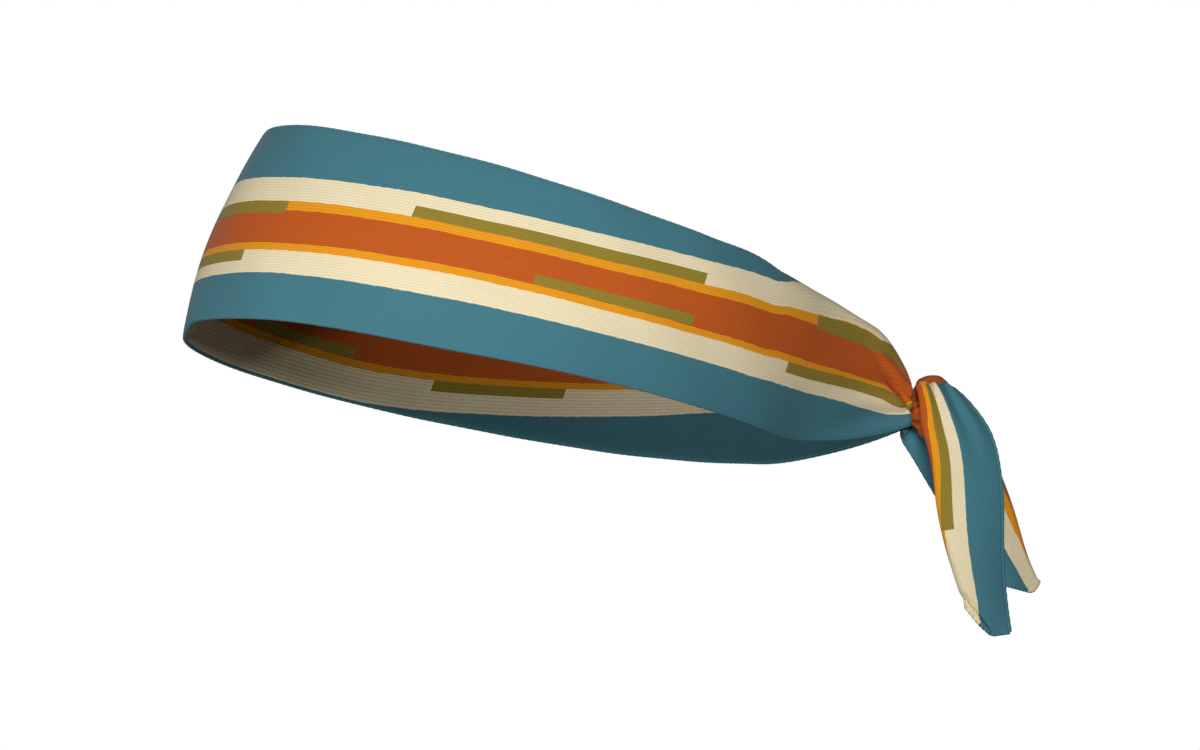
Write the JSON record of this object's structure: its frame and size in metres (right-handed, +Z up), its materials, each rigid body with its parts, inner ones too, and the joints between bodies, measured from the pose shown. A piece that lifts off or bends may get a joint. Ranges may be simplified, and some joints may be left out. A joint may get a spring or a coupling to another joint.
{
  "type": "tie headband",
  "caption": "Two-layer stretch knit sports headband in its worn shape, knotted at the nape, with two folded tails that swing from the knot.",
  "frame": {"origin": "middle of the head opening, where the middle of the wearer's head sits", "axes": "+Z up along the wearer's head, forehead at -X, knot and tails at +X, the wearer's left side at -Y"},
  "size_m": [0.2778, 0.1576, 0.161],
  "materials": {
    "outer_knit": "matte printed stretch knit with cream, mustard, orange and olive stripes",
    "lining_knit": "matte printed stretch knit, grainier inner face",
    "seam_thread": "matte sewn edge in matching thread",
    "knot_knit": "matte printed stretch knit drawn tight"
  },
  "bodies": {
    "band": {"band_outer_panel": "outer_knit", "band_inner_panel": "lining_knit", "band_upper_seam": "seam_thread", "band_lower_seam": "seam_thread", "knot_core": "knot_knit", "knot_wrap": "knot_knit", "left_tail_root": "knot_knit", "right_tail_root": "knot_knit"},
    "left_tail": {"left_tail_outer_panel": "outer_knit", "left_tail_inner_panel": "lining_knit", "left_tail_lower_edge_seam": "seam_thread", "left_tail_upper_edge_seam": "seam_thread", "left_tail_end_seam": "seam_thread"},
    "right_tail": {"right_tail_outer_panel": "outer_knit", "right_tail_inner_panel": "lining_knit", "right_tail_lower_edge_seam": "seam_thread", "right_tail_upper_edge_seam": "seam_thread", "right_tail_end_seam": "seam_thread"}
  },
  "joints": [
    {"name": "left_tail_swing", "type": "hinge", "parent": "band", "child": "left_tail", "pos_m": [0.145, -0.01055, -0.036], "axis": [-1, 0, 0], "range_deg": [-5, 100]},
    {"name": "right_tail_swing", "type": "hinge", "parent": "band", "child": "right_tail", "pos_m": [0.1423, 0.01055, -0.036], "axis": [1, 0, 0], "range_deg": [-5, 100]}
  ]
}
